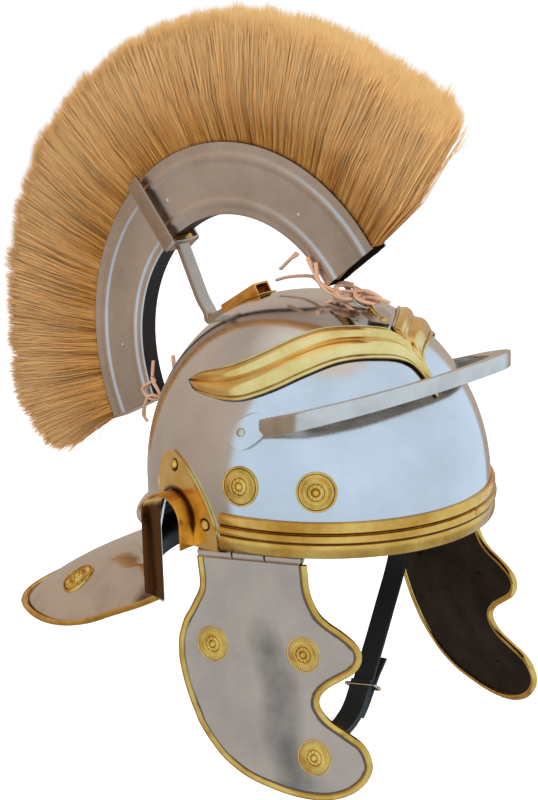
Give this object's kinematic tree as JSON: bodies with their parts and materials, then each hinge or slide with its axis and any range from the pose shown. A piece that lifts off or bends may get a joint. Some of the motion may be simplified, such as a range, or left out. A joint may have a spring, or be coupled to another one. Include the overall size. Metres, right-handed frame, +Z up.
{
  "type": "legionary helmet",
  "caption": "Open-faced steel infantry helmet with brass bands, neck guard, hinged cheek guards, peak and a fore-and-aft hair crest on a fork",
  "frame": {"origin": "the middle of the head opening, level with the lower edge of the brow band", "axes": "+Z up, -Y out of the brow, -X to the wearer's right ear"},
  "size_m": [0.221, 0.3986, 0.4505],
  "materials": {
    "steel": "polished and lightly brushed",
    "brass": "polished, tarnished in the hollows",
    "hair": "stiff golden tan hair",
    "black_leather": "smooth black",
    "tan_leather": "bare tan"
  },
  "bodies": {
    "helmet": {"bowl": "steel", "brow_band": "brass", "ear_guard_right": "brass", "ear_guard_left": "brass", "ear_rivet_1_right": "brass", "ear_rivet_1_left": "brass", "ear_rivet_2_right": "brass", "ear_rivet_2_left": "brass", "neck_guard_rim": "brass", "brow_ornament": "brass", "peak": "steel", "peak_rivet_right": "steel", "peak_rivet_left": "steel", "bowl_rosette_rear_right": "brass", "bowl_rosette_rear_left": "brass", "bowl_rosette_front_right": "brass", "bowl_rosette_front_left": "brass", "neck_rosette_right": "brass", "neck_rosette_left": "brass", "crest_bracket": "brass", "crest_fork": "steel", "crest_box": "steel", "plume_1": "hair", "plume_2": "hair", "plume_3": "hair", "plume_4": "hair", "plume_5": "hair", "plume_6": "hair", "front_hook": "steel", "front_ring": "steel", "rear_hook": "steel", "rear_ring": "steel", "front_tie": "tan_leather", "rear_tie": "tan_leather", "hinge_leaf_right": "steel", "hinge_leaf_left": "steel", "hinge_pin_right": "steel", "hinge_pin_left": "steel", "chin_strap": "black_leather", "chin_buckle": "steel"},
    "guard_right": {"cheek_guard_right": "steel", "cheek_rim_right": "brass", "cheek_rosette_rear_right": "brass", "cheek_rosette_front_right": "brass", "cheek_rosette_low_right": "brass"},
    "guard_left": {"cheek_guard_left": "steel", "cheek_rim_left": "brass", "cheek_rosette_rear_left": "brass", "cheek_rosette_front_left": "brass", "cheek_rosette_low_left": "brass"}
  },
  "joints": [
    {"name": "cheek_hinge_right", "type": "hinge", "parent": "helmet", "child": "guard_right", "pos_m": [-0.0955, 0.008, -0.0082], "axis": [-0.2537, 0.9653, -0.0624], "range_deg": [-12, 75]},
    {"name": "cheek_hinge_left", "type": "hinge", "parent": "helmet", "child": "guard_left", "pos_m": [0.0955, 0.008, -0.0082], "axis": [-0.2537, -0.9653, 0.0624], "range_deg": [-12, 75]}
  ]
}
